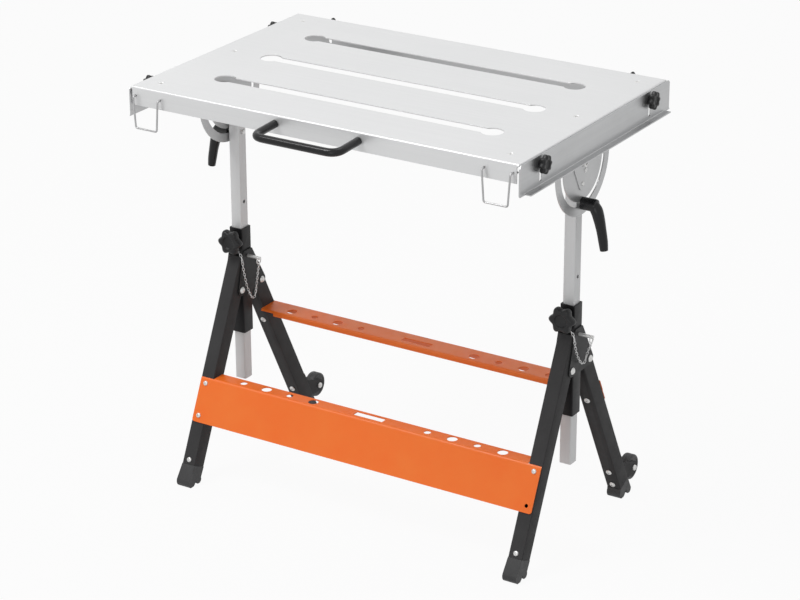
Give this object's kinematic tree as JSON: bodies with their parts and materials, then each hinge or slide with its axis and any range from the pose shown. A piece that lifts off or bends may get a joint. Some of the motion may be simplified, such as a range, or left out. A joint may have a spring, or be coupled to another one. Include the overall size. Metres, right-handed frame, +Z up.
{
  "type": "folding welding table",
  "caption": "Folding welding table with a slotted steel top, lifting guide rails, two telescoping stands with folding legs, an orange front panel and a rear shelf.",
  "frame": {"origin": "on the floor, under the middle of the whole table's box", "axes": "+X to the right along the table's length, -Y to the front where the handle is, +Z up"},
  "size_m": [0.8154, 0.5966, 0.778],
  "materials": {
    "galvanised_steel": "smooth galvanised sheet and tube",
    "black_paint": "fine satin powder coat",
    "orange_paint": "satin powder coat",
    "black_plastic": "fine moulded grain",
    "black_grip": "smooth gloss coat",
    "zinc_hardware": "bright zinc plate"
  },
  "bodies": {
    "stand_sleeves": {"left_sleeve": "black_paint", "right_sleeve": "black_paint", "left_pin_chain": "zinc_hardware", "right_pin_chain": "zinc_hardware", "front_left_leg_bolt": "zinc_hardware", "front_right_leg_bolt": "zinc_hardware", "rear_left_leg_bolt": "zinc_hardware", "rear_right_leg_bolt": "zinc_hardware"},
    "front_legs": {"front_left_leg": "black_paint", "front_right_leg": "black_paint", "front_left_foot": "black_plastic", "front_right_foot": "black_plastic", "front_panel": "orange_paint", "panel_bolt_left_upper": "zinc_hardware", "panel_bolt_left_lower": "zinc_hardware", "panel_bolt_right_upper": "zinc_hardware"},
    "rear_legs": {"rear_left_leg": "black_paint", "rear_right_leg": "black_paint", "rear_left_foot": "black_plastic", "rear_right_foot": "black_plastic", "rear_shelf": "orange_paint", "shelf_bolt_left": "zinc_hardware", "shelf_bolt_right": "zinc_hardware", "left_wheel_bracket": "black_paint", "right_wheel_bracket": "black_paint", "left_wheel_axle": "zinc_hardware", "right_wheel_axle": "zinc_hardware"},
    "uprights": {"left_upright": "galvanised_steel", "right_upright": "galvanised_steel", "left_pivot_bolt": "zinc_hardware", "right_pivot_bolt": "zinc_hardware"},
    "table": {"table_top": "galvanised_steel", "carry_handle": "black_grip", "left_cross_member": "galvanised_steel", "right_cross_member": "galvanised_steel", "left_tilt_plate": "galvanised_steel", "right_tilt_plate": "galvanised_steel"},
    "left_rail_slider": {"left_rail": "galvanised_steel"},
    "right_rail_slider": {"right_rail": "galvanised_steel"},
    "back_rail_slider": {"back_rail": "galvanised_steel"},
    "left_rail_front_knob_body": {"left_rail_front_knob": "black_plastic"},
    "left_rail_rear_knob_body": {"left_rail_rear_knob": "black_plastic"},
    "right_rail_front_knob_body": {"right_rail_front_knob": "black_plastic"},
    "right_rail_rear_knob_body": {"right_rail_rear_knob": "black_plastic"},
    "back_rail_left_knob_body": {"back_rail_left_knob": "black_plastic"},
    "back_rail_right_knob_body": {"back_rail_right_knob": "black_plastic"},
    "left_height_knob_body": {"left_height_knob": "black_plastic"},
    "left_lever_body": {"left_tilt_lever": "black_grip"},
    "left_hook_body": {"left_hook": "zinc_hardware"},
    "left_pin_body": {"left_pin": "zinc_hardware"},
    "left_wheel_body": {"left_wheel": "black_plastic"},
    "right_height_knob_body": {"right_height_knob": "black_plastic"},
    "right_lever_body": {"right_tilt_lever": "black_grip"},
    "right_hook_body": {"right_hook": "zinc_hardware"},
    "right_pin_body": {"right_pin": "zinc_hardware"},
    "right_wheel_body": {"right_wheel": "black_plastic"}
  },
  "joints": [
    {"name": "front_leg_fold", "type": "hinge", "parent": "stand_sleeves", "child": "front_legs", "pos_m": [0, 0.0077, 0.331], "axis": [1, 0, 0], "range_deg": [0, 24.2]},
    {"name": "rear_leg_fold", "type": "hinge", "parent": "stand_sleeves", "child": "rear_legs", "pos_m": [0, 0.0707, 0.331], "axis": [-1, 0, 0], "range_deg": [0, 26.8]},
    {"name": "height_slide", "type": "slide", "parent": "stand_sleeves", "child": "uprights", "axis": [0, 0, 1], "range_m": [-0.104, 0.035]},
    {"name": "table_tilt", "type": "hinge", "parent": "uprights", "child": "table", "pos_m": [0, 0.0287, 0.7], "axis": [-1, 0, 0], "range_deg": [0, 90]},
    {"name": "left_rail_lift", "type": "slide", "parent": "table", "child": "left_rail_slider", "axis": [0, 0, 1], "range_m": [0, 0.018]},
    {"name": "right_rail_lift", "type": "slide", "parent": "table", "child": "right_rail_slider", "axis": [0, 0, 1], "range_m": [0, 0.018]},
    {"name": "back_rail_lift", "type": "slide", "parent": "table", "child": "back_rail_slider", "axis": [0, 0, 1], "range_m": [0, 0.018]},
    {"name": "left_rail_front_knob_turn", "type": "hinge", "parent": "table", "child": "left_rail_front_knob_body", "pos_m": [-0.3836, -0.1593, 0.7605], "axis": [-1, 0, 0], "continuous": true},
    {"name": "left_rail_rear_knob_turn", "type": "hinge", "parent": "table", "child": "left_rail_rear_knob_body", "pos_m": [-0.3836, 0.2167, 0.7605], "axis": [-1, 0, 0], "continuous": true},
    {"name": "right_rail_front_knob_turn", "type": "hinge", "parent": "table", "child": "right_rail_front_knob_body", "pos_m": [0.3836, -0.1593, 0.7605], "axis": [1, 0, 0], "continuous": true},
    {"name": "right_rail_rear_knob_turn", "type": "hinge", "parent": "table", "child": "right_rail_rear_knob_body", "pos_m": [0.3836, 0.2167, 0.7605], "axis": [1, 0, 0], "continuous": true},
    {"name": "back_rail_left_knob_turn", "type": "hinge", "parent": "table", "child": "back_rail_left_knob_body", "pos_m": [-0.31, 0.2853, 0.7605], "axis": [0, 1, 0], "continuous": true},
    {"name": "back_rail_right_knob_turn", "type": "hinge", "parent": "table", "child": "back_rail_right_knob_body", "pos_m": [0.31, 0.2853, 0.7605], "axis": [0, 1, 0], "continuous": true},
    {"name": "left_height_knob_turn", "type": "hinge", "parent": "stand_sleeves", "child": "left_height_knob_body", "pos_m": [-0.343, 0.0084, 0.425], "axis": [0, -1, 0], "continuous": true},
    {"name": "left_lever_turn", "type": "hinge", "parent": "uprights", "child": "left_lever_body", "pos_m": [-0.359, 0.0287, 0.629], "axis": [-1, 0, 0], "range_deg": [0, 90]},
    {"name": "left_hook_swing", "type": "hinge", "parent": "table", "child": "left_hook_body", "pos_m": [-0.344, -0.2243, 0.762], "axis": [-1, 0, 0], "range_deg": [-5, 18]},
    {"name": "left_pin_pull", "type": "slide", "parent": "stand_sleeves", "child": "left_pin_body", "axis": [1, 0, 0], "range_m": [-0.019, 0.012]},
    {"name": "left_wheel_roll", "type": "hinge", "parent": "rear_legs", "child": "left_wheel_body", "pos_m": [-0.343, 0.26071, 0.042], "axis": [1, 0, 0], "continuous": true},
    {"name": "right_height_knob_turn", "type": "hinge", "parent": "stand_sleeves", "child": "right_height_knob_body", "pos_m": [0.343, 0.0084, 0.425], "axis": [0, -1, 0], "continuous": true},
    {"name": "right_lever_turn", "type": "hinge", "parent": "uprights", "child": "right_lever_body", "pos_m": [0.359, 0.0287, 0.629], "axis": [-1, 0, 0], "range_deg": [0, 90]},
    {"name": "right_hook_swing", "type": "hinge", "parent": "table", "child": "right_hook_body", "pos_m": [0.344, -0.2243, 0.762], "axis": [-1, 0, 0], "range_deg": [-5, 18]},
    {"name": "right_pin_pull", "type": "slide", "parent": "stand_sleeves", "child": "right_pin_body", "axis": [1, 0, 0], "range_m": [-0.019, 0.012]},
    {"name": "right_wheel_roll", "type": "hinge", "parent": "rear_legs", "child": "right_wheel_body", "pos_m": [0.343, 0.26071, 0.042], "axis": [1, 0, 0], "continuous": true}
  ]
}
